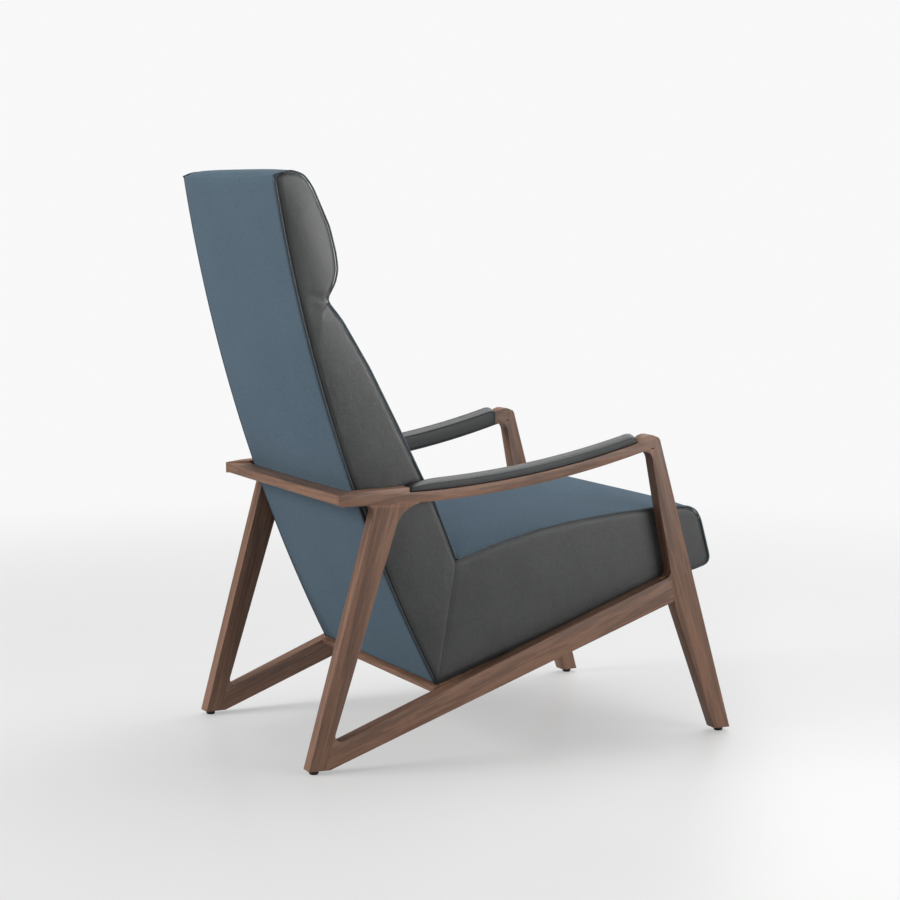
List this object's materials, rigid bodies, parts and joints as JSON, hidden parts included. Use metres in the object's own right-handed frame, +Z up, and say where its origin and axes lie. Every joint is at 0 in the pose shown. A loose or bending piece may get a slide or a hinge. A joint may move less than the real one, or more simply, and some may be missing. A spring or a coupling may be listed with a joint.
{
  "type": "high-back lounge armchair",
  "caption": "High-back lounge armchair: a tapered upholstered shell with a headrest roll, carried between splayed walnut side frames with padded arms and screw-in levelling glides.",
  "frame": {"origin": "on the floor, under the middle of the chair's outline", "axes": "+Z up, -Y is the front, the way the sitter faces, +X is the sitter's left"},
  "size_m": [0.6596, 0.9452, 1.122],
  "materials": {
    "walnut": "oiled walnut, satin",
    "beech": "raw beech dowel",
    "plywood": "raw birch plywood",
    "timber": "raw softwood",
    "steel": "zinc plated",
    "glide_plastic": "moulded, matt",
    "foam": "open-cell foam",
    "leather": "smooth dark grey leather, satin",
    "wool_cloth": "felted blue-grey wool, matt",
    "webbing": "woven elastic",
    "lining": "non-woven, matt"
  },
  "bodies": {
    "chair": {"rear_leg_left": "walnut", "rear_leg_right": "walnut", "front_leg_left": "walnut", "front_leg_right": "walnut", "side_rail_left": "walnut", "side_rail_right": "walnut", "arm_rail_left": "walnut", "arm_rail_right": "walnut", "back_crossbar": "walnut", "rear_crossbar": "walnut", "front_crossbar": "walnut", "joint_dowels": "beech", "glide_inserts": "steel", "arm_pad_foam_left": "foam", "arm_pad_foam_right": "foam", "arm_pad_cover_left": "leather", "arm_pad_cover_right": "leather", "side_panel_left": "plywood", "side_panel_right": "plywood", "back_panel": "plywood", "base_panel": "plywood", "front_timber": "timber", "seat_timber": "timber", "head_timber": "timber", "seat_webbing": "webbing", "back_webbing": "webbing", "seat_foam": "foam", "back_foam": "foam", "head_foam": "foam", "back_side_cover_left": "leather", "back_side_cover_right": "leather", "seat_side_cover_left": "leather", "seat_side_cover_right": "leather", "outer_back_cover": "wool_cloth", "inner_back_cover": "wool_cloth", "headrest_cover": "wool_cloth", "seat_cover": "wool_cloth", "front_cover": "wool_cloth", "base_cover": "lining", "back_welt_left": "leather", "back_welt_right": "leather", "inner_back_welt_left": "wool_cloth", "inner_back_welt_right": "wool_cloth", "seat_welt_left": "wool_cloth", "seat_welt_right": "wool_cloth", "shell_bolts": "steel", "tee_nuts": "steel"},
    "rear_left_leveller": {"rear_glide_left": "glide_plastic", "rear_stem_left": "steel"},
    "rear_right_leveller": {"rear_glide_right": "glide_plastic", "rear_stem_right": "steel"},
    "front_left_leveller": {"front_glide_left": "glide_plastic", "front_stem_left": "steel"},
    "front_right_leveller": {"front_glide_right": "glide_plastic", "front_stem_right": "steel"}
  },
  "joints": [
    {"name": "rear_left_level", "type": "slide", "parent": "chair", "child": "rear_left_leveller", "axis": [0, 0, 1], "range_m": [-0.006, 0]},
    {"name": "rear_right_level", "type": "slide", "parent": "chair", "child": "rear_right_leveller", "axis": [0, 0, 1], "range_m": [-0.006, 0]},
    {"name": "front_left_level", "type": "slide", "parent": "chair", "child": "front_left_leveller", "axis": [0, 0, 1], "range_m": [-0.006, 0]},
    {"name": "front_right_level", "type": "slide", "parent": "chair", "child": "front_right_leveller", "axis": [0, 0, 1], "range_m": [-0.006, 0]}
  ]
}
